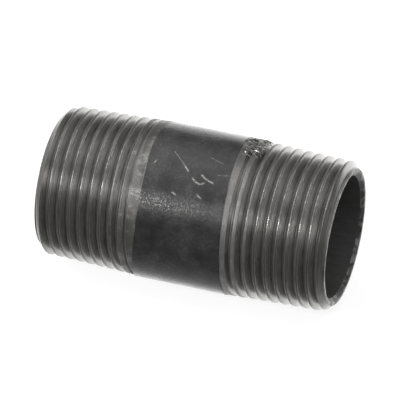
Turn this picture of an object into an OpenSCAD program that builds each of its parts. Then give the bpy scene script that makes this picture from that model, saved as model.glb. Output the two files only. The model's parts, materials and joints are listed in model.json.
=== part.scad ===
// Threaded pipe nipple: a short length of black steel pipe with a right-hand
// taper pipe thread cut on each end. The pipe lies along X with its middle at
// the origin, and +Z is up.

/* [Pipe] */
// Outside diameter of the bare pipe
pipe_od = 26.67; // [21:0.01:34]
// Thickness of the pipe wall
wall = 2.87; // [2.4:0.01:4.5]
// Length from end face to end face
nipple_length = 50.8; // [42:0.1:150]

/* [Thread] */
// Turns of thread in each inch of length
threads_per_inch = 14; // [11:0.5:18]
// Length along the axis in which the thread's diameter grows by one
taper_run = 16; // [12:0.5:30]
// Width of the flat along the top of each ridge
crest_flat = 0.4; // [0.1:0.01:0.6]
// Width of the flat along the bottom of each groove
root_flat = 0.12; // [0.06:0.01:0.3]
// Turns over which the groove fades out beside the barrel
run_out_turns = 2.1; // [1:0.05:3]
// Width of the skimmed land between the thread and the barrel
land = 0.3; // [0.1:0.05:1]
// How far the die skims the pipe below its outside, on the radius
skim = 0.03; // [0.02:0.01:0.1]
// Angle at which the thread on the -X end starts
thread_start_a = 237; // [0:1:360]
// Angle at which the thread on the +X end starts
thread_start_b = 108; // [0:1:360]

/* [Ends] */
// Outside bevel of each end face, on the radius
end_bevel = 1.15; // [0.3:0.05:1.2]
// Reamed chamfer in each mouth of the bore, on the radius
ream = 0.6; // [0.3:0.05:0.9]

/* [Coats] */
// Thickness of the black lacquer on the barrel
lacquer_t = 0.05; // [0.03:0.01:0.12]
// Thickness of the mill scale on the bore
scale_t = 0.05; // [0.03:0.01:0.12]

/* [Hidden] */
$fn = 96;
INCH = 25.4;

// The pipe
pipe_r = pipe_od / 2;
bore_r = pipe_r - wall;
half_length = nipple_length / 2;

// The thread, by the rules of taper pipe threads: the pitch diameter at the
// end face and the length of useful thread both follow from the pipe's
// outside diameter and the pitch.
flank_slope = tan(30);
pitch = INCH / threads_per_inch;
radius_slope = 0.5 / taper_run;
pitch_r_at_end = (pipe_od - (0.05 * pipe_od / INCH + 1.1) * pitch) / 2;
useful_length = (0.8 * pipe_od / INCH + 6.8) * pitch;
thread_length = useful_length + run_out_turns * pitch;
crest_h = (pitch / 2 - crest_flat) / 2 / flank_slope;
root_h = (pitch / 2 - root_flat) / 2 / flank_slope;
crest_r_at_end = pitch_r_at_end + crest_h;
// The groove never closes quite to nothing.
least_groove = 0.02;
facets_per_turn = 60;

// The barrel lies between the two threads. The die skims a narrow land at each
// of its ends.
barrel_half = half_length - thread_length - land;
// How far each thread's own solid runs into the barrel, which it joins
buried = 1;
// No corner of the mesh is nearer than this to a flat end of the thread.
end_gap = 0.012;

// Radius of the ridge tops at a distance z from the end face
function crest_r(z) = min(crest_r_at_end + radius_slope * z, pipe_r - skim);

// Radius of the groove bottoms: a taper along the useful thread, then a
// straight climb to the surface over the run-out
function tapered_root_r(z) = pitch_r_at_end - root_h + radius_slope * z;
function faded_root_r(z) =
    let (share = (z - useful_length) / (thread_length - useful_length),
         deepest = tapered_root_r(useful_length),
         surface = crest_r(thread_length) - least_groove)
    deepest + (surface - deepest) * min(share, 1);
function root_r(z) = z < useful_length ? tapered_root_r(z) : faded_root_r(z);

// The four corners of the groove whose middle is at z: its near edge, the two
// edges of its bottom, and its far edge
function groove(z) =
    let (depth = max(crest_r(z) - root_r(z), least_groove),
         half_root = root_flat / 2,
         half_top = half_root + depth * flank_slope)
    [[z - half_top, crest_r(z)], [z - half_root, crest_r(z) - depth],
     [z + half_root, crest_r(z) - depth], [z + half_top, crest_r(z)]];

// A rod with the thread on its outside, cut square at z = 0 and at the land.
// Its surface is made of columns, one for each step round the rod, that hold the
// corners of every groove they cross. A groove climbs by one pitch in a turn, so
// the corners of neighbouring columns line up along the groove, and the last
// column meets the first one turn, or four corners, further on.
n = facets_per_turn;
turns = ceil(thread_length / pitch) + 1;
corners_in_groove = 4;
last_corner = corners_in_groove * (turns + 1) - 1;

// Corner q of column i, as [z, radius]
function corner(i, q) =
    groove(pitch * (i / n + floor(q / corners_in_groove) - 1))[q % corners_in_groove];

// The first and the last corner of each column that lie between the two ends
low = [
    for (i = [0 : n - 1])
        min([for (q = [0 : last_corner]) if (corner(i, q)[0] > end_gap) q])
];
high = [
    for (i = [0 : n - 1])
        max([for (q = [0 : last_corner]) if (corner(i, q)[0] < thread_length - end_gap) q])
];

// The bevel lowers whatever stands above a 45 degree cone at the end face.
face_r = crest_r_at_end - end_bevel;
function bevelled(c) = [c[0], min(c[1], face_r + c[0])];

// Radius where column i meets the end face
function face_edge_r(i) =
    min(face_r, lookup(0, [corner(i, low[i] - 1), corner(i, low[i])]));

// All points of column i: its edge of the end face, its corners, both edges of
// the land
function column(i) = concat(
    [[0, face_edge_r(i)]],
    [for (q = [low[i] : high[i]]) bevelled(corner(i, q))],
    [for (z = [thread_length, thread_length + land + buried]) [z, crest_r(thread_length)]]
);
columns = [for (i = [0 : n - 1]) column(i)];
first_point = [
    for (i = 0, count = 0; i < n; count = count + len(columns[i]), i = i + 1) count
];

// Numbers of the points: column n is column 0 with its corners one groove on.
function shift(i) = i < n ? 0 : corners_in_groove;
function point_at(i, q) = first_point[i % n] + 1 + q + shift(i) - low[i % n];
function face_point(i) = first_point[i % n];
function land_point(i, k) = first_point[i % n] + len(columns[i % n]) - 2 + k;
function low_at(i) = low[i % n] - shift(i);
function high_at(i) = high[i % n] - shift(i);

module threaded_rod() {
    points = [
        for (i = [0 : n - 1])
            for (p = columns[i])
                [p[1] * cos(360 * i / n), p[1] * sin(360 * i / n), p[0]]
    ];
    strips = [
        for (i = [0 : n - 1])
            let (from = max(low_at(i), low_at(i + 1)),
                 to = min(high_at(i), high_at(i + 1)))
            each concat(
                [concat(
                    [face_point(i)],
                    [for (q = [low_at(i) : from]) point_at(i, q)],
                    [for (q = [from : -1 : low_at(i + 1)]) point_at(i + 1, q)],
                    [face_point(i + 1)]
                )],
                [for (q = [from : to - 1])
                    [point_at(i, q), point_at(i, q + 1),
                     point_at(i + 1, q + 1), point_at(i + 1, q)]
                ],
                [concat(
                    [for (q = [to : high_at(i)]) point_at(i, q)],
                    [land_point(i, 0), land_point(i + 1, 0)],
                    [for (q = [high_at(i + 1) : -1 : to]) point_at(i + 1, q)]
                )],
                [[land_point(i, 0), land_point(i, 1),
                  land_point(i + 1, 1), land_point(i + 1, 0)]]
            )
    ];
    face = [for (i = [0 : n - 1]) face_point(i)];
    far_end = [for (i = [n - 1 : -1 : 0]) land_point(i, 1)];
    polyhedron(points = points, faces = concat(strips, [face, far_end]));
}

// Places its children's z = 0 at the -X end face, with +Z running inwards.
module at_end_a() {
    translate([-half_length, 0, 0]) rotate([0, 90, 0]) children();
}

// The same at the +X end face
module at_end_b() {
    rotate([0, 0, 180]) at_end_a() children();
}

module along_x(radius, half) {
    translate([-half, 0, 0]) rotate([0, 90, 0]) cylinder(r = radius, h = 2 * half);
}

// Cone that reams a mouth of the bore, for at_end_a() and at_end_b()
module reamer() {
    past = 1;
    translate([0, 0, -past])
        cylinder(r1 = bore_r + ream + past, r2 = bore_r - past, h = ream + 2 * past);
}

// The pipe with both threads: one piece of steel
module steel_pipe() {
    past = 1;
    color("dimgray")
    difference() {
        union() {
            along_x(pipe_r, barrel_half);
            at_end_a() rotate([0, 0, thread_start_a]) threaded_rod();
            at_end_b() rotate([0, 0, thread_start_b]) threaded_rod();
        }
        along_x(bore_r, half_length + past);
        at_end_a() reamer();
        at_end_b() reamer();
    }
}

// Black lacquer round the barrel, cut off by the die at both threads
module barrel_lacquer() {
    past = 1;
    color([0.1, 0.1, 0.11])
    difference() {
        along_x(pipe_r + lacquer_t, barrel_half);
        along_x(pipe_r, barrel_half + past);
    }
}

// Dark scale on the bore, cut off by the reamer at both mouths
module bore_scale() {
    past = 1;
    scale_half = half_length - ream;
    color([0.17, 0.17, 0.18])
    difference() {
        along_x(bore_r, scale_half);
        along_x(bore_r - scale_t, scale_half + past);
    }
}

steel_pipe();
barrel_lacquer();
bore_scale();
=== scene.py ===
import json
import math
import random

import bmesh
import bpy
from mathutils import Matrix, Vector, noise


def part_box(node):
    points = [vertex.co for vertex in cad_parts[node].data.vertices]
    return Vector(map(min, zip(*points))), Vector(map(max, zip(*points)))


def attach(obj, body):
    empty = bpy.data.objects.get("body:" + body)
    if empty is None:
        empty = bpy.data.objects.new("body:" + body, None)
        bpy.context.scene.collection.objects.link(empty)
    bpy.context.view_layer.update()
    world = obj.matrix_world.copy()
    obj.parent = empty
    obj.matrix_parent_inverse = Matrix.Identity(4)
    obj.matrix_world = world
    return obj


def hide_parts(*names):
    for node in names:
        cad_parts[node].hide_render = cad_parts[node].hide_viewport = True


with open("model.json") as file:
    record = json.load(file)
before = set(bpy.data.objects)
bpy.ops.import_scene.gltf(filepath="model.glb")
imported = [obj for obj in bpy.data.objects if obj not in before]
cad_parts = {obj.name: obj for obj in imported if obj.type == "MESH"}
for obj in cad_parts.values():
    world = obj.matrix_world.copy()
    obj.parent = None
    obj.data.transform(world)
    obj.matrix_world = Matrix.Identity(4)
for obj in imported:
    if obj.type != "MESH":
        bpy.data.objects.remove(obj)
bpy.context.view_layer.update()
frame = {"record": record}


# ---------------------------------------------------------------------------
# Steel pipe
# A length sawn from black steel pipe. A die has cut a right-hand taper thread
# on each end, so that part is bare bright steel; its last grooves fade out
# beside the barrel. The end faces are bevelled outside and reamed inside.
# ---------------------------------------------------------------------------

MM = 0.001
mounts = {mount["name"]: mount["dims"] for mount in frame["record"]["mounts"]}
half_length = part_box("steel_pipe")[1].x
pipe_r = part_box("steel_pipe")[1].z
bore_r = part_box("bore_scale")[1].z
barrel_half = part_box("barrel_lacquer")[1].x
ream = half_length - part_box("bore_scale")[1].x

threads_per_inch = 14
pitch = 25.4 * MM / threads_per_inch
flank_slope = math.tan(math.radians(30))
crest_flat = 0.4 * MM
root_flat = 0.12 * MM
# The thread's diameter grows by 1 in a length of 16
radius_slope = 0.5 / 16
# How far the die skims the pipe, and the width of the land that it leaves
skim = 0.03 * MM
land = 0.3 * MM
end_bevel = 1.15 * MM
pitch_r = mounts["thread_a"]["r_mm"] * MM
useful_length = mounts["thread_a"]["length_mm"] * MM
thread_length = half_length - barrel_half - land
crest_r_at_end = pitch_r + (pitch / 2 - crest_flat) / 2 / flank_slope
root_r_at_end = pitch_r - (pitch / 2 - root_flat) / 2 / flank_slope
face_r = crest_r_at_end - end_bevel

steps_per_turn = 240
points_per_pitch = 16
# Points 0 to 8 of the mesh run from the middle of a groove's bottom to the middle
# of the ridge. Point 1 is the bottom's edge. Points 2 and 3 are on the flank, by
# the share of its height. Points 4 to 7 round the ridge's edge, by the slope
# there in degrees, and handling has rubbed two of them bright.
flank_shares = {2: 0.45, 3: 0.8}
edge_slopes = {4: 60, 5: 40, 6: 20, 7: 0}
worn_points = (5, 6)
edge_rounding = 0.1 * MM
# The bevel has the finish of the thread at this share of its depth, and so only part of the flanks'
# painted brightening.
bevel_depth_share = 0.085


def crest_radius(z):
    """Radius of the ridge tops at a distance z from the end face"""
    return min(crest_r_at_end + radius_slope * z, pipe_r - skim)


def groove_depth(z, lift):
    """Full along the useful thread, then fading to nothing; lift is 1 for a
    straight climb to the surface, and more where the groove lifts out late"""
    if z <= useful_length:
        return crest_radius(z) - root_r_at_end - radius_slope * z
    deepest = root_r_at_end + radius_slope * useful_length
    share = min((z - useful_length) / (thread_length - useful_length), 1) ** lift
    surface = crest_radius(thread_length)
    return max(crest_radius(z) - deepest - (surface - deepest) * share, 0)


def across_groove(number, depth):
    """Distance from the groove's middle, and drop below the ridge's top, of
    one of the points across half a groove"""
    half_root = root_flat / 2
    half_top = half_root + depth * flank_slope
    if number <= 1:
        return half_root * number, depth
    if number in flank_shares:
        share = flank_shares[number]
        return half_root + (half_top - half_root) * share, depth * (1 - share)
    if number in edge_slopes:
        slope = math.radians(edge_slopes[number])
        radius = min(edge_rounding, 0.3 * depth)
        distance = half_top + radius * (flank_slope - math.sin(slope))
        return distance, radius * (1 - math.cos(slope))
    return pitch / 2, 0.0


def tear(angle, z, seed):
    """Small unevenness of the cut surface, drawn out along the groove"""
    around = Vector((math.cos(angle), math.sin(angle), 0)) * 3.2
    fine = noise.noise(around * 4 + Vector((0, 0, z / (0.25 * MM) + seed)))
    coarse = noise.noise(around + Vector((0, 0, z / (1.6 * MM) + seed)))
    return 0.009 * MM * fine + 0.012 * MM * coarse


def edge_loop_at(bm, z):
    """The open edges of a mesh that lie in the plane at z"""
    return [
        e for e in bm.edges
        if e.is_boundary and all(abs(v.co.z - z) < 1e-6 for v in e.verts)
    ]


def pull_loop(bm, edges, radius, z):
    """Extrudes a loop of edges to a ring at z; its radius or z may be a
    function of the angle"""
    grown = bmesh.ops.extrude_edge_only(bm, edges=edges)["geom"]
    for v in (g for g in grown if isinstance(g, bmesh.types.BMVert)):
        angle = math.atan2(v.co.y, v.co.x)
        r = radius(angle) if callable(radius) else radius
        height = z(angle) if callable(z) else z
        v.co = (r * math.cos(angle), r * math.sin(angle), height)
    return [g for g in grown if isinstance(g, bmesh.types.BMEdge) and g.is_boundary]


def chamfer_depth(angle, seed):
    """Depth of the reamed chamfer, which the reamer tore in places"""
    around = Vector((math.cos(angle), math.sin(angle), 0))
    torn = max(noise.noise(around * 1.7 + Vector((0, 0, seed))) + 0.25, 0)
    chips = noise.noise(around * 14 + Vector((0, 0, seed)))
    return ream * (1 + 0.05 * chips + 0.55 * torn * chips)


def threaded_half(start, seed, off_centre, lift):
    """Half of the pipe, with its end face at z = 0 and the pipe running to +z.
    The thread's groove starts at the angle start; off_centre is how far, and
    which way, the die sat beside the pipe's own axis; lift is groove_depth's."""
    bm = bmesh.new()
    cut_end = thread_length + land
    pitches = math.ceil(cut_end / pitch) + 2
    first = bm.verts.new((pipe_r, 0, -pitch))
    last = bm.verts.new((pipe_r, 0, (pitches - 1) * pitch))
    line = bm.edges.new((first, last))
    bmesh.ops.subdivide_edges(bm, edges=[line], cuts=pitches * points_per_pitch - 1)
    bmesh.ops.spin(
        bm, geom=bm.verts[:] + bm.edges[:], cent=(0, 0, 0), axis=(0, 0, 1),
        dvec=(0, 0, pitch / steps_per_turn), angle=math.tau, steps=steps_per_turn,
    )
    bmesh.ops.remove_doubles(bm, verts=bm.verts, dist=1e-6)

    # What the steel's finish needs to know at each point, each from 0 to 1
    depth_share = bm.verts.layers.float.new("depth")
    fresh_cut = bm.verts.layers.float.new("fresh_cut")
    worn_edge = bm.verts.layers.float.new("worn_edge")
    reamed = bm.verts.layers.float.new("reamed")
    half = points_per_pitch // 2
    for v in bm.verts:
        angle = math.atan2(v.co.y, v.co.x) % math.tau
        number = round((v.co.z / pitch - angle / math.tau) * points_per_pitch)
        number = (number + half) % points_per_pitch - half
        middle = v.co.z - number * pitch / points_per_pitch
        depth = groove_depth(middle, lift)
        across, drop = across_groove(abs(number), depth)
        z = middle + math.copysign(across, number)
        r = crest_radius(z) - drop + tear(angle, z, seed)
        v.co = (r * math.cos(angle), r * math.sin(angle), z)
        v[depth_share] = drop / groove_depth(0, lift)
        v[worn_edge] = abs(number) in worn_points
        v[fresh_cut] = min(max((z - useful_length + pitch) / (2 * pitch), 0), 1)

    for plane, side in ((0, {"clear_inner": True}), (cut_end, {"clear_outer": True})):
        bmesh.ops.bisect_plane(
            bm, geom=bm.verts[:] + bm.edges[:] + bm.faces[:], dist=1e-7,
            plane_co=(0, 0, plane), plane_no=(0, 0, 1), **side,
        )
    for v in bm.verts:
        flat = Vector((v.co.x, v.co.y))
        limit = face_r + v.co.z
        if flat.length > limit:
            flat *= limit / flat.length
            v[depth_share] = bevel_depth_share
            v[worn_edge] = 0
        flat = flat + Vector(off_centre)
        v.co = (flat.x, flat.y, v.co.z)

    def mouth_r(angle):
        return bore_r + 0.5 * (ream + chamfer_depth(angle, seed))

    def torn_depth(angle):
        return chamfer_depth(angle, seed)

    loop = edge_loop_at(bm, 0)
    for v in {v for e in loop for v in e.verts}:
        v[reamed] = 1
    loop = pull_loop(bm, loop, mouth_r, 0)
    loop = pull_loop(bm, loop, bore_r + ream / 2, ream / 2)
    loop = pull_loop(bm, loop, bore_r, torn_depth)
    pull_loop(bm, loop, bore_r, half_length)
    loop = pull_loop(bm, edge_loop_at(bm, cut_end), pipe_r, cut_end)
    pull_loop(bm, loop, pipe_r, half_length)
    bmesh.ops.rotate(bm, verts=bm.verts, matrix=Matrix.Rotation(start, 3, "Z"))
    return bm


def finish_mesh(bm, name):
    """Turns a bmesh into an object, smooth except where it folds sharply"""
    sharpest_smooth_fold = math.radians(32)
    bmesh.ops.recalc_face_normals(bm, faces=bm.faces)
    for face in bm.faces:
        face.smooth = True
    for edge in bm.edges:
        edge.smooth = edge.is_manifold and edge.calc_face_angle(0) < sharpest_smooth_fold
    mesh = bpy.data.meshes.new(name)
    bm.to_mesh(mesh)
    bm.free()
    piece = bpy.data.objects.new(name, mesh)
    bpy.context.scene.collection.objects.link(piece)
    return piece


# The two ends: side of the pipe, angle where the thread starts, seed of the
# torn edges, how far the die sat off centre, and how late its groove lifts out.
# The end at +x is laid like the end at -x and then turned round.
ENDS = [
    (-1, math.radians(237), 11.0, (0.05 * MM, -0.09 * MM), 1.1),
    (1, math.radians(108), 47.0, (0.0, 0.0), 2.6),
]
lay_down = Matrix.Translation((-half_length, 0, 0)) @ Matrix.Rotation(math.pi / 2, 4, "Y")
turn_round = Matrix.Rotation(math.pi, 4, "Z")
pipe_mesh = bpy.data.meshes.new("halves")
pipe_bm = bmesh.new()
for side, thread_start, seed, off_centre, lift in ENDS:
    half_bm = threaded_half(thread_start, seed, off_centre, lift)
    place = lay_down if side < 0 else turn_round @ lay_down
    bmesh.ops.transform(half_bm, matrix=place, verts=half_bm.verts)
    half_bm.to_mesh(pipe_mesh)
    half_bm.free()
    pipe_bm.from_mesh(pipe_mesh)
bpy.data.meshes.remove(pipe_mesh)
bmesh.ops.remove_doubles(pipe_bm, verts=pipe_bm.verts, dist=2e-6)
steel_pipe = finish_mesh(pipe_bm, "pipe_steel")


def new_material(name):
    """A material with an empty node tree, its Principled shader and its tree"""
    material = bpy.data.materials.new(name)
    material.use_nodes = True
    tree = material.node_tree
    tree.nodes.clear()
    shader = tree.nodes.new("ShaderNodeBsdfPrincipled")
    output = tree.nodes.new("ShaderNodeOutputMaterial")
    tree.links.new(shader.outputs[0], output.inputs["Surface"])
    return material, shader, tree


def wire(tree, socket, value):
    """Links a socket to an output, or sets its value"""
    if isinstance(value, bpy.types.NodeSocket):
        tree.links.new(value, socket)
    else:
        socket.default_value = value


def maths(tree, operation, *values):
    """The result of a Math node over numbers or outputs"""
    node = tree.nodes.new("ShaderNodeMath")
    node.operation = operation
    for socket, value in zip(node.inputs, values):
        wire(tree, socket, value)
    return node.outputs[0]


def vector(tree, x, y, z):
    """Coordinates made of three numbers or outputs"""
    node = tree.nodes.new("ShaderNodeCombineXYZ")
    for socket, value in zip(node.inputs, (x, y, z)):
        wire(tree, socket, value)
    return node.outputs[0]


def grain(tree, where, detail=2.0, roughness=0.5):
    """Noise from 0 to 1 over coordinates that are already scaled"""
    node = tree.nodes.new("ShaderNodeTexNoise")
    wire(tree, node.inputs["Vector"], where)
    node.inputs["Scale"].default_value = 1.0
    node.inputs["Detail"].default_value = detail
    node.inputs["Roughness"].default_value = roughness
    return node.outputs["Fac"]


def spread(tree, value, low, high, to_low=0.0, to_high=1.0):
    """Stretches a range of values onto another, and stops at its ends"""
    node = tree.nodes.new("ShaderNodeMapRange")
    for socket, number in zip(node.inputs, (value, low, high, to_low, to_high)):
        wire(tree, socket, number)
    return node.outputs[0]


def warm_grey(level):
    """The slightly warm grey of bare steel"""
    return level, 0.984 * level, 0.95 * level, 1


def blend_colours(tree, share, first, second):
    node = tree.nodes.new("ShaderNodeMix")
    node.data_type = "RGBA"
    wire(tree, node.inputs["Factor"], share)
    wire(tree, node.inputs["A"], first)
    wire(tree, node.inputs["B"], second)
    return node.outputs["Result"]


def bumps(tree, shader, height, distance):
    """Bumps on a shader's surface, distance high where height is 1"""
    node = tree.nodes.new("ShaderNodeBump")
    node.inputs["Distance"].default_value = distance
    tree.links.new(height, node.inputs["Height"])
    tree.links.new(node.outputs["Normal"], shader.inputs["Normal"])


def pipe_coordinates(tree):
    """Place along the pipe, the two across it, the angle about it from its
    top, and the place along it measured from one turn of the thread"""
    place = tree.nodes.new("ShaderNodeTexCoord").outputs["Object"]
    split = tree.nodes.new("ShaderNodeSeparateXYZ")
    tree.links.new(place, split.inputs[0])
    x, y, z = split.outputs
    angle = maths(tree, "ARCTAN2", y, z)
    helical = maths(tree, "MULTIPLY_ADD", angle, pitch / math.tau, x)
    return x, y, z, angle, helical


def painted_attribute(tree, name):
    """A value that the mesh holds at each of its points"""
    node = tree.nodes.new("ShaderNodeAttribute")
    node.attribute_name = name
    return node.outputs["Fac"]


def cut_steel():
    """Die-cut steel: dull ridge tops, flanks painted brighter to make up for the grooves' shade,
    and painted shade at the groove bottoms, all with drawn-out tool marks, and rougher lands beside
    the barrel"""
    material, shader, tree = new_material("cut_steel")
    x, y, z, angle, helical = pipe_coordinates(tree)

    def drawn_out(fine, coarse):
        return vector(
            tree, maths(tree, "MULTIPLY", helical, 1 / fine),
            maths(tree, "MULTIPLY", y, 1 / coarse), maths(tree, "MULTIPLY", z, 1 / coarse),
        )

    tool_marks = grain(tree, drawn_out(0.14 * MM, 5 * MM), 3, 0.6)
    stains = grain(tree, drawn_out(1.5 * MM, 3.5 * MM), 3, 0.6)
    chatter = grain(tree, drawn_out(0.5 * MM, 0.16 * MM), 2, 0.6)
    patches = grain(tree, drawn_out(3 * MM, 2 * MM), 3, 0.6)
    torn = grain(tree, drawn_out(0.3 * MM, 0.5 * MM), 3, 0.6)
    depth = painted_attribute(tree, "depth")
    fresh = painted_attribute(tree, "fresh_cut")
    edge = painted_attribute(tree, "worn_edge")
    reamed = painted_attribute(tree, "reamed")

    # Ridge tops that the die barely touched stay dull; the flanks are bare, and painted brighter
    # against the grooves' shade.
    marked = spread(tree, tool_marks, 0.3, 0.7)
    ridge_top = blend_colours(tree, marked, warm_grey(0.07), warm_grey(0.115))
    flank = blend_colours(tree, marked, warm_grey(0.21), warm_grey(0.32))
    surface = blend_colours(tree, spread(tree, depth, 0.03, 0.14), ridge_top, flank)
    stained = spread(tree, stains, 0.45, 0.75, 0.0, 0.5)
    surface = blend_colours(tree, stained, surface, warm_grey(0.1))
    # The deepest part of each groove is darkened as painted shade.
    groove_painted_shade = spread(tree, depth, 0.8, 1.0, 0.0, 0.6)
    surface = blend_colours(tree, groove_painted_shade, surface, warm_grey(0.06))

    # The land beside the barrel is brighter at the +x end, marked by chatter in
    # patches, and smeared with lacquer along its top.
    in_patches = spread(tree, patches, 0.47, 0.6)
    chattered = maths(tree, "MULTIPLY", spread(tree, chatter, 0.42, 0.6), in_patches)
    skimmed = blend_colours(tree, marked, warm_grey(0.085), warm_grey(0.15))
    brighter_end = spread(tree, x, -5 * MM, 5 * MM, 0.0, 0.42)
    skimmed = blend_colours(tree, brighter_end, skimmed, warm_grey(0.3))
    skimmed = blend_colours(tree, chattered, skimmed, warm_grey(0.3))
    from_top = maths(tree, "ABSOLUTE", angle)
    smeared = spread(tree, from_top, math.radians(8), math.radians(24), 0.6, 0.0)
    skimmed = blend_colours(tree, smeared, skimmed, warm_grey(0.04))
    bare_land = maths(tree, "MULTIPLY", fresh, spread(tree, depth, 0.02, 0.12, 0.85, 0.0))
    surface = blend_colours(tree, bare_land, surface, skimmed)

    # Ridge edges are rubbed bright in places, and the reamed chamfer has flaked.
    rubbed = maths(tree, "MULTIPLY", edge, spread(tree, torn, 0.4, 0.6, 0.15, 1.0))
    rubbed = maths(tree, "MULTIPLY", rubbed, spread(tree, fresh, 0.3, 0.8, 1.0, 0.3))
    surface = blend_colours(tree, rubbed, surface, warm_grey(0.6))
    in_flakes = spread(tree, patches, 0.45, 0.6)
    flaked = blend_colours(tree, in_flakes, warm_grey(0.06), warm_grey(0.26))
    surface = blend_colours(tree, reamed, surface, flaked)
    wire(tree, shader.inputs["Base Color"], surface)

    wire(tree, shader.inputs["Metallic"], spread(tree, rubbed, 0.0, 1.0, 0.75, 0.95))
    rougher = maths(tree, "MAXIMUM", bare_land, reamed)
    dulled = spread(tree, tool_marks, 0.2, 0.8, 0.24, 0.36)
    dulled = maths(tree, "MULTIPLY_ADD", rougher, 0.2, dulled)
    wire(tree, shader.inputs["Roughness"], maths(tree, "MULTIPLY_ADD", rubbed, -0.1, dulled))
    chatter_marks = maths(tree, "MULTIPLY", chattered, bare_land)
    rough = maths(tree, "MULTIPLY_ADD", chatter_marks, 1.2, tool_marks)
    rough = maths(tree, "MULTIPLY_ADD", maths(tree, "MULTIPLY", torn, reamed), 4.0, rough)
    bumps(tree, shader, rough, 0.012 * MM)
    return material


steel = cut_steel()
steel_pipe.data.materials.append(steel)
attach(steel_pipe, "root")
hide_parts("steel_pipe")


# ---------------------------------------------------------------------------
# Barrel lacquer
# The thin black lacquer that the pipe was dipped in. The dies cut it off at
# both threads and left ragged edges; handling has scratched and dulled it.
# ---------------------------------------------------------------------------

lacquer_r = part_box("barrel_lacquer")[1].z
lacquer_rings = 64
lacquer_steps = 360


def cut_back(angle, end):
    """How far the lacquer reaches past the barrel's end (or, below 0, falls
    short of it): the dies sat a little askew, and tore the film's edge"""
    around = Vector((math.sin(angle), math.cos(angle), 0))
    if end < 0:
        reach = min(1.9 * (1 - math.cos(angle - math.radians(56))) - 0.4, 1.35)
    else:
        reach = 0.8 * math.cos(angle - math.radians(95)) - 0.5
    slow = noise.noise(around * 2.1 + Vector((0, 0, 7 * end)))
    quick = noise.noise(around * 17 + Vector((0, 0, 3 * end)))
    return (reach + 0.08 * slow - 0.14 * abs(quick)) * MM


def spun_tube(low_x, high_x, radius, rings, steps):
    """A tube round the X axis, open at both ends"""
    bm = bmesh.new()
    first = bm.verts.new((low_x, 0, radius))
    last = bm.verts.new((high_x, 0, radius))
    line = bm.edges.new((first, last))
    bmesh.ops.subdivide_edges(bm, edges=[line], cuts=rings - 1)
    bmesh.ops.spin(
        bm, geom=bm.verts[:] + bm.edges[:], cent=(0, 0, 0), axis=(1, 0, 0),
        angle=math.tau, steps=steps, use_merge=True,
    )
    return bm


def close_film(bm, wall_r):
    """Makes a closed film of an open tube, by a second wall of radius wall_r"""
    rims = []
    for end in (-1, 1):
        loop = [
            e for e in bm.edges
            if e.is_boundary and all(v.co.x * end > 0 for v in e.verts)
        ]
        grown = bmesh.ops.extrude_edge_only(bm, edges=loop)["geom"]
        for v in (g for g in grown if isinstance(g, bmesh.types.BMVert)):
            v.co.yz = v.co.yz.normalized() * wall_r
        rims += [g for g in grown if isinstance(g, bmesh.types.BMEdge) and g.is_boundary]
    bmesh.ops.bridge_loops(bm, edges=rims)


# The film swells a little here and there, its ends follow the cuts of the dies,
# and what reaches past the barrel lies on the skimmed land.
lacquer_bm = spun_tube(-barrel_half, barrel_half, lacquer_r, lacquer_rings, lacquer_steps)
for v in lacquer_bm.verts:
    from_top = math.atan2(-v.co.y, v.co.z)
    end = math.copysign(1, v.co.x)
    nearness = max(abs(v.co.x) / barrel_half * 2 - 1, 0)
    around = v.co / (5 * MM)
    swell = 0.010 * MM * noise.noise(around) + 0.004 * MM * noise.noise(around * 4)
    v.co.x += end * nearness * cut_back(from_top, end)
    past_barrel = min(max((abs(v.co.x) - barrel_half) / (0.1 * MM), 0), 1)
    v.co.yz *= 1 + (swell - skim * past_barrel) / lacquer_r
# Its inner wall lies just inside the steel, so that no gap shows at its edges.
close_film(lacquer_bm, pipe_r - 2 * skim)
lacquer = finish_mesh(lacquer_bm, "lacquer_coat")


def scratch(tree, along, round_pipe, start, end, width):
    """1 on a straight scratch from start to end, and 0 away from it"""
    soft_end = 0.1 * MM
    degree = math.radians(1) * lacquer_r
    first = Vector((start[0] * MM, start[1] * degree))
    last = Vector((end[0] * MM, end[1] * degree))
    length = (last - first).length
    heading = (last - first) / length
    from_x = maths(tree, "SUBTRACT", along, first.x)
    from_turn = maths(tree, "SUBTRACT", round_pipe, first.y)
    run = maths(tree, "MULTIPLY", from_x, heading.x)
    run = maths(tree, "MULTIPLY_ADD", from_turn, heading.y, run)
    off = maths(tree, "MULTIPLY", from_x, heading.y)
    off = maths(tree, "ABSOLUTE", maths(tree, "MULTIPLY_ADD", from_turn, -heading.x, off))
    past = maths(tree, "ABSOLUTE", maths(tree, "SUBTRACT", run, length / 2))
    inside = spread(tree, past, length / 2 - soft_end, length / 2 + soft_end, 1.0, 0.0)
    return maths(tree, "MULTIPLY", spread(tree, off, width * MM / 4, width * MM, 1.0, 0.0), inside)


# Scratches as (width in mm, points), each point as mm along the pipe and
# degrees about it from its top, towards -y
SCRATCHES = [
    (0.06, [(-3.5, 13), (-0.7, 24.2)]), (0.21, [(-0.9, 23.5), (0, 27.2)]),
    (0.16, [(-6.2, 26.5), (-5.9, 23.6)]), (0.17, [(2.4, 43), (3.3, 45.3)]),
    (0.19, [(0.9, 31.5), (1.6, 33.9), (2.5, 35.3), (3.2, 33.5)]),
    (0.22, [(2.3, 27.8), (3.1, 30.2), (4.7, 32.8)]), (0.21, [(-1.8, 44.7), (-1.1, 46)]),
    (0.04, [(2.7, 12), (5.4, 16)]), (0.04, [(5.0, 25.9), (7.0, 24.4)]),
    (0.06, [(-4.4, 160), (-2.0, 172)]), (0.1, [(3.1, -80), (1.6, -74), (0.9, -71)]),
    (0.05, [(-2.2, -120), (3.4, -131)]), (0.12, [(4.2, -55), (4.9, -52)]),
]
# Angle from the top, towards -y, of the band of painted highlight, light dots where the lacquer's
# sheen falls
painted_highlight_at = math.radians(53.5)


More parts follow.
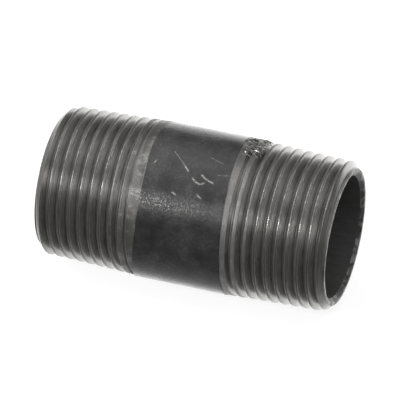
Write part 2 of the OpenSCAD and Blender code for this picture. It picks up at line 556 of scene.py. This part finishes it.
def black_lacquer():
    """Satin black lacquer, clouded by dust, with bare scratches and a band of painted highlight"""
    material, shader, tree = new_material("black_lacquer")
    x, y, z, angle, _ = pipe_coordinates(tree)
    round_pipe = maths(tree, "MULTIPLY", angle, -lacquer_r)

    def evenly(size):
        return vector(tree, *(maths(tree, "MULTIPLY", axis, 1 / size) for axis in (x, y, z)))

    clouds = grain(tree, evenly(3.5 * MM), 5, 0.65)
    peel = grain(tree, evenly(0.4 * MM), 3, 0.6)
    dust = grain(tree, evenly(0.22 * MM), 2, 0.5)
    drawn = vector(
        tree, maths(tree, "MULTIPLY", x, 1 / (2.5 * MM)),
        maths(tree, "MULTIPLY", y, 1 / (0.12 * MM)), maths(tree, "MULTIPLY", z, 1 / (0.12 * MM)),
    )
    rubbed = grain(tree, drawn, 2, 0.6)

    # Dust gathers in clouds, and in specks within them.
    film = blend_colours(
        tree, spread(tree, clouds, 0.35, 0.7), (0.012, 0.012, 0.013, 1), (0.036, 0.036, 0.035, 1)
    )
    specks = maths(tree, "MULTIPLY", spread(tree, dust, 0.62, 0.72), spread(tree, clouds, 0.5, 0.62))
    film = blend_colours(tree, specks, film, warm_grey(0.1))

    # The painted highlight is a band of light dots that thins out towards +x.
    off_highlight_band = maths(tree, "SUBTRACT", round_pipe, painted_highlight_at * lacquer_r)
    off_highlight_band = maths(tree, "ABSOLUTE", off_highlight_band)
    highlight_band = maths(
        tree, "MULTIPLY", spread(tree, off_highlight_band, 0.5 * MM, 1.9 * MM, 1.0, 0.0),
        spread(tree, x, -2 * MM, 6 * MM, 1.0, 0.2),
    )
    highlight_dots = spread(tree, grain(tree, evenly(0.24 * MM), 3, 0.7), 0.53, 0.62)
    film = blend_colours(tree, maths(tree, "MULTIPLY", highlight_band, highlight_dots), film, warm_grey(0.3))

    # Scratches waver a little, and dust breaks them up.
    wobble = maths(tree, "MULTIPLY_ADD", grain(tree, evenly(0.5 * MM)), 0.3 * MM, -0.15 * MM)
    wavy_x = maths(tree, "ADD", x, wobble)
    wavy_turn = maths(tree, "ADD", round_pipe, wobble)
    bare = 0.0
    for width, points in SCRATCHES:
        for start, end in zip(points, points[1:]):
            line = scratch(tree, wavy_x, wavy_turn, start, end, width)
            bare = maths(tree, "MAXIMUM", line, bare)
    bare = maths(tree, "MULTIPLY", bare, spread(tree, dust, 0.35, 0.6, 0.1, 1.0))
    film = blend_colours(tree, bare, film, warm_grey(0.34))
    wire(tree, shader.inputs["Base Color"], film)

    shader.inputs["IOR"].default_value = 1.5
    cloudy = spread(tree, clouds, 0.3, 0.7, 0.14, 0.26)
    wire(tree, shader.inputs["Roughness"], maths(tree, "MULTIPLY_ADD", rubbed, 0.1, cloudy))
    height = maths(tree, "MULTIPLY", peel, spread(tree, x, -2 * MM, 5 * MM, 4.5, 1.5))
    height = maths(tree, "ADD", specks, height)
    height = maths(tree, "MULTIPLY_ADD", bare, -2.0, height)
    bumps(tree, shader, height, 0.014 * MM)
    return material


lacquer.data.materials.append(black_lacquer())
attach(lacquer, "root")
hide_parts("barrel_lacquer")


# ---------------------------------------------------------------------------
# Bore scale
# The dull, dark oxide left inside the pipe by the rolling mill. It is uneven,
# and the reamer has cut it away at both mouths.
# ---------------------------------------------------------------------------

scale_low, scale_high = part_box("bore_scale")
scale_inner_r = mounts["bore"]["r_mm"] * MM
scale_rings = 100
scale_steps = 180
# How uneven the scale is, as a share of its radius
unevenness = 0.0012
scale_bm = spun_tube(scale_low.x, scale_high.x, scale_inner_r, scale_rings, scale_steps)
for v in scale_bm.verts:
    place = Vector((v.co.x / (6 * MM), v.co.y / (2 * MM), v.co.z / (2 * MM)))
    v.co.yz *= 1 + unevenness * (noise.noise(place) + 0.5 * noise.noise(place * 3))
# The film ends where the reamer's torn chamfer begins.
for side, thread_start, seed, _, _ in ENDS:
    for v in (v for v in scale_bm.verts if v.co.x * side > scale_high.x - 1e-6):
        angle = math.atan2(-side * v.co.y, -v.co.z) - thread_start
        v.co.x = side * (half_length - chamfer_depth(angle, seed))
close_film(scale_bm, bore_r)
bore_scale = finish_mesh(scale_bm, "bore_oxide")


def mill_scale():
    """Dull dark oxide, drawn out along the bore, a little browner in patches"""
    material, shader, tree = new_material("mill_scale")
    x, y, z, _, _ = pipe_coordinates(tree)
    drawn = vector(
        tree, maths(tree, "MULTIPLY", x, 1 / (3 * MM)),
        maths(tree, "MULTIPLY", y, 1 / (0.5 * MM)), maths(tree, "MULTIPLY", z, 1 / (0.5 * MM)),
    )
    flakes = grain(tree, drawn, 4, 0.65)
    colour = blend_colours(
        tree, spread(tree, flakes, 0.35, 0.7), (0.042, 0.042, 0.043, 1), (0.068, 0.067, 0.065, 1)
    )
    wire(tree, shader.inputs["Base Color"], colour)
    wire(tree, shader.inputs["Roughness"], spread(tree, flakes, 0.3, 0.7, 0.5, 0.72))
    bumps(tree, shader, flakes, 0.03 * MM)
    return material


bore_scale.data.materials.append(mill_scale())
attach(bore_scale, "root")
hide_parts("bore_scale")


# ---------------------------------------------------------------------------
# Torn burr
# Slivers of steel and lacquer that the die tore and folded over where it
# stopped, at the top of the barrel's +x end. They are still part of the pipe.
# ---------------------------------------------------------------------------

random.seed(20)
sliver_count = 130
sliver_thickness = 0.03 * MM
# How deep each sliver's edge is rooted in the ridges
rooted = 0.02 * MM
burr_bm = bmesh.new()
bright = burr_bm.verts.layers.float.new("worn_edge")
for number in range(sliver_count):
    length = random.uniform(0.7, 2.2) * MM
    width = random.uniform(0.06, 0.17) * MM
    # Its middle, from the barrel's end towards the thread and from the pipe's top
    # towards +y
    middle_x = barrel_half + random.triangular(-0.8, 3.6, 0.8) * MM
    middle_angle = math.radians(random.triangular(-3, 36, 12))
    slant = math.radians(random.gauss(-28, 24))
    lift = random.uniform(0.0, 0.1) * MM
    curl = random.uniform(0.02, 0.16) * MM
    roll = random.uniform(-0.9, 0.9)
    raised_side = math.copysign(1, roll)
    shine = random.choice((0.0, 0.0, 0.2, 0.4))
    sliver = bmesh.ops.create_grid(burr_bm, x_segments=8, y_segments=2, size=0.5)["verts"]
    for v in sliver:
        share = v.co.x
        roundness = 1 - (2 * share) ** 2
        taper = math.sqrt(max(roundness, 0.02))
        bend = 0.15 * math.sin(5 * share + number)
        across = (v.co.y * taper + bend) * width
        along = share * length
        tilt = (0.5 + raised_side * v.co.y) * taper
        rise = lift * roundness + curl * (v.co.y * taper) ** 2 * 2 + abs(roll) * tilt * width
        x = middle_x + along * math.cos(slant) - across * math.sin(slant)
        angle = middle_angle + (along * math.sin(slant) + across * math.cos(slant)) / pipe_r
        r = crest_radius(half_length - x) - rooted + rise
        v.co = (x, r * math.sin(angle), r * math.cos(angle))
        v[bright] = shine
bmesh.ops.recalc_face_normals(burr_bm, faces=burr_bm.faces)
bmesh.ops.solidify(burr_bm, geom=burr_bm.faces[:], thickness=sliver_thickness)
burr = finish_mesh(burr_bm, "run_out_burr")
burr.data.materials.append(steel)
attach(burr, "root")


# ---------------------------------------------------------------------------
# Floor
# A plain pale sheet that the pipe lies on. It isn't part of the pipe.
# ---------------------------------------------------------------------------

floor_half = 3
floor_bm = bmesh.new()
bmesh.ops.create_grid(floor_bm, x_segments=1, y_segments=1, size=floor_half)
bmesh.ops.translate(floor_bm, verts=floor_bm.verts, vec=(0, 0, -lacquer_r))
floor = finish_mesh(floor_bm, "floor")
paper, paper_shader, paper_tree = new_material("floor_paper")
paper_shader.inputs["Base Color"].default_value = (0.3, 0.3, 0.3, 1)
paper_shader.inputs["Roughness"].default_value = 0.9
paper_shader.inputs["Emission Color"].default_value = (1, 1, 1, 1)
paper_shader.inputs["Emission Strength"].default_value = 0.82
floor.data.materials.append(paper)
floor.visible_glossy = False
floor.visible_diffuse = False


# ---------------------------------------------------------------------------
# Studio light
# Soft light from all round the pipe: a white wall low behind it, a broad lamp
# above, a narrow strip light high in front, and little from low in front.
# ---------------------------------------------------------------------------

# Brightness of the surroundings by their direction about the pipe's axis, in
# degrees from +y over the top
SURROUNDINGS = [
    (0, 2.1), (6, 1.5), (14, 0.5), (24, 0.3), (36, 0.45), (50, 1.05), (66, 1.6), (85, 1.7),
    (108, 1.3), (116, 0.85), (130, 0.7), (137, 1.3), (143, 2.8), (151, 2.8), (157, 0.9),
    (166, 0.42), (190, 0.3), (232, 0.34), (246, 0.6), (256, 0.75), (270, 0.85), (284, 1.3),
    (300, 2.3), (345, 2.8), (360, 2.1),
]
# The same for the lights at the -x side, which the ridges' edges catch
SIDE_LIGHT = [
    (0, 0), (50, 0), (62, 4), (104, 5), (112, 0.5), (131, 0.5), (137, 21), (147, 21), (151, 0),
    (360, 0),
]


def brightness_curve(tree, turn, levels):
    """Brightness looked up by the turn about the pipe, 0 to 1 for a whole turn"""
    node = tree.nodes.new("ShaderNodeFloatCurve")
    tree.links.new(turn, node.inputs["Value"])
    brightest = max(level for _, level in levels)
    points = node.mapping.curves[0].points
    for _ in levels[2:]:
        points.new(0.5, 0.5)
    for point, (degrees, level) in zip(points, levels):
        point.location = (degrees / 360, level / brightest)
        point.handle_type = "VECTOR"
    node.mapping.update()
    return maths(tree, "MULTIPLY", node.outputs[0], brightest)


world = bpy.data.worlds.new("studio")
world.use_nodes = True
sky = world.node_tree
sky.nodes.clear()
direction = sky.nodes.new("ShaderNodeTexCoord").outputs["Generated"]
split = sky.nodes.new("ShaderNodeSeparateXYZ")
sky.links.new(direction, split.inputs[0])
towards_x, towards_y, towards_z = split.outputs
turn = maths(sky, "ARCTAN2", towards_z, towards_y)
turn = maths(sky, "FRACT", maths(sky, "DIVIDE", turn, math.tau))
# How far a direction points to the -x side, and how far to either end
to_side = maths(sky, "MULTIPLY", towards_x, -1.0)
to_end = maths(sky, "ABSOLUTE", to_side)
in_side_light = maths(
    sky, "MULTIPLY", spread(sky, to_side, 0.4, 0.6), spread(sky, to_side, 0.8, 0.9, 1.0, 0.0)
)
side = maths(sky, "MULTIPLY", in_side_light, brightness_curve(sky, turn, SIDE_LIGHT))
studio = sky.nodes.new("ShaderNodeBackground")
around = maths(
    sky, "MULTIPLY", spread(sky, to_end, 0.45, 0.85, 1.0, 0.35),
    brightness_curve(sky, turn, SURROUNDINGS),
)
total = maths(sky, "ADD", around, side)
sky.links.new(total, studio.inputs["Strength"])
backdrop = sky.nodes.new("ShaderNodeBackground")
backdrop.inputs["Color"].default_value = (1, 1, 1, 1)
seen = sky.nodes.new("ShaderNodeMixShader")
rays = sky.nodes.new("ShaderNodeLightPath")
sky.links.new(rays.outputs["Is Camera Ray"], seen.inputs[0])
sky.links.new(studio.outputs[0], seen.inputs[1])
sky.links.new(backdrop.outputs[0], seen.inputs[2])
world_output = sky.nodes.new("ShaderNodeOutputWorld")
sky.links.new(seen.outputs[0], world_output.inputs["Surface"])
bpy.context.scene.world = world
bpy.context.scene.view_settings.view_transform = "Standard"


# ---------------------------------------------------------------------------
# Camera
# A long lens from above the front, a little to the +x side, so that the pipe
# points away to the left and its +x mouth is open to view.
# ---------------------------------------------------------------------------

azimuth = math.radians(18.78)
elevation = math.radians(36.70)
distance = 0.809
back = Vector((
    math.sin(azimuth) * math.cos(elevation),
    -math.cos(azimuth) * math.cos(elevation),
    math.sin(elevation),
))
camera_data = bpy.data.cameras.new("camera")
camera_data.sensor_width = 36
camera_data.lens = 418.5
camera_data.shift_x = 0.0169
camera_data.shift_y = 0.0015
camera_data.clip_start = 0.01
camera = bpy.data.objects.new("camera", camera_data)
camera.location = back * distance
camera.rotation_euler = back.to_track_quat("Z", "Y").to_euler()
bpy.context.scene.collection.objects.link(camera)
bpy.context.scene.camera = camera
